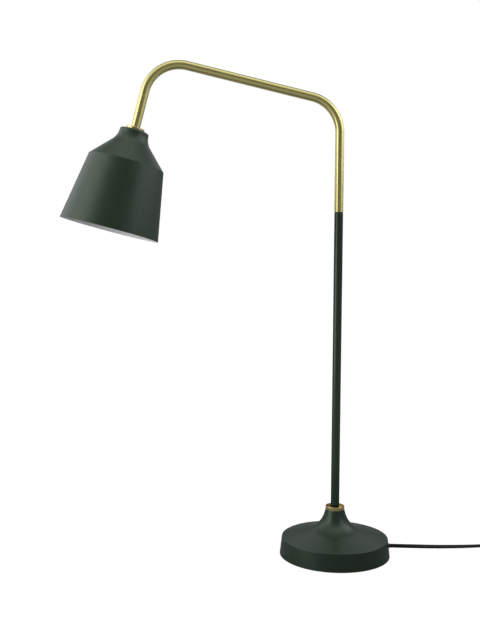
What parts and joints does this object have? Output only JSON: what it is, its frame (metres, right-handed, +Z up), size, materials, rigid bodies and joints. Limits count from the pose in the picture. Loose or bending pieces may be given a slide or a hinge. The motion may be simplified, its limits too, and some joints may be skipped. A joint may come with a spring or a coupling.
{
  "type": "desk lamp",
  "caption": "Desk lamp with a round weighted base, a slim pole, a swivelling bent brass arm and a downward metal shade, with a corded switch and plug.",
  "frame": {"origin": "centre of the base's underside, on the surface that the lamp stands on, under the pole", "axes": "+Z up along the pole, the arm reaches towards -X and 9 degrees towards -Y, the cord leaves towards +X"},
  "size_m": [0.761, 0.1911, 0.6737],
  "materials": {
    "green_steel": "dark grey-green powder coat, satin",
    "green_sheet": "spun sheet, dark grey-green powder coat outside, white lacquer inside",
    "cast_weight": "grey iron casting, black primer",
    "plate_steel": "black steel plate",
    "pad_rubber": "non-slip foam rubber ring",
    "zinc_steel": "zinc plated steel",
    "brass": "brushed and lacquered brass",
    "black_plastic": "moulded black nylon",
    "black_nylon": "thin nylon thrust washer",
    "cord_sheath": "flat black two-core lead",
    "holder_plastic": "black heat-resistant plastic",
    "bulb_glass": "frosted glass",
    "switch_plastic": "moulded black plastic"
  },
  "bodies": {
    "base": {"base_cover": "green_steel", "base_weight": "cast_weight", "base_plate": "plate_steel", "base_pad": "pad_rubber", "plate_screws": "zinc_steel", "base_collar": "brass", "cord_gland": "black_plastic", "gland_nut": "black_plastic", "cord_clamp": "black_plastic", "clamp_screws": "zinc_steel", "pole_tube": "green_steel", "pole_stem": "zinc_steel", "stem_washer": "zinc_steel", "stem_lock_washer": "zinc_steel", "stem_nut": "zinc_steel", "swivel_bush": "brass", "stop_pin": "zinc_steel", "swivel_washer": "black_nylon", "flex_lower": "cord_sheath", "cord_lead": "cord_sheath", "switch_base": "switch_plastic", "switch_cover": "switch_plastic", "switch_screws": "zinc_steel", "rocker_pin": "zinc_steel", "cord_tail": "cord_sheath", "cord_coil": "cord_sheath", "cord_end": "cord_sheath", "plug_relief": "switch_plastic", "plug_body": "switch_plastic", "plug_pins": "zinc_steel"},
    "arm": {"arm_tube": "brass", "swivel_spigot": "brass", "spigot_clip": "zinc_steel", "flex_upper": "cord_sheath", "shade_collar": "brass", "arm_nipple": "zinc_steel", "shade": "green_sheet", "holder_cap": "holder_plastic", "holder_body": "holder_plastic", "holder_shell": "zinc_steel", "holder_contact": "brass", "holder_ring": "holder_plastic", "bulb_cap": "zinc_steel", "bulb_glass": "bulb_glass"},
    "rocker": {"switch_rocker": "switch_plastic"}
  },
  "joints": [
    {"name": "arm_swivel", "type": "hinge", "parent": "base", "child": "arm", "pos_m": [0, 0, 0.477], "axis": [0, 0, 1], "range_deg": [-150, 150]},
    {"name": "switch_rock", "type": "hinge", "parent": "base", "child": "rocker", "pos_m": [0.292, 0.038, 0.0085], "axis": [0, 1, 0], "range_deg": [-6, 6]}
  ]
}
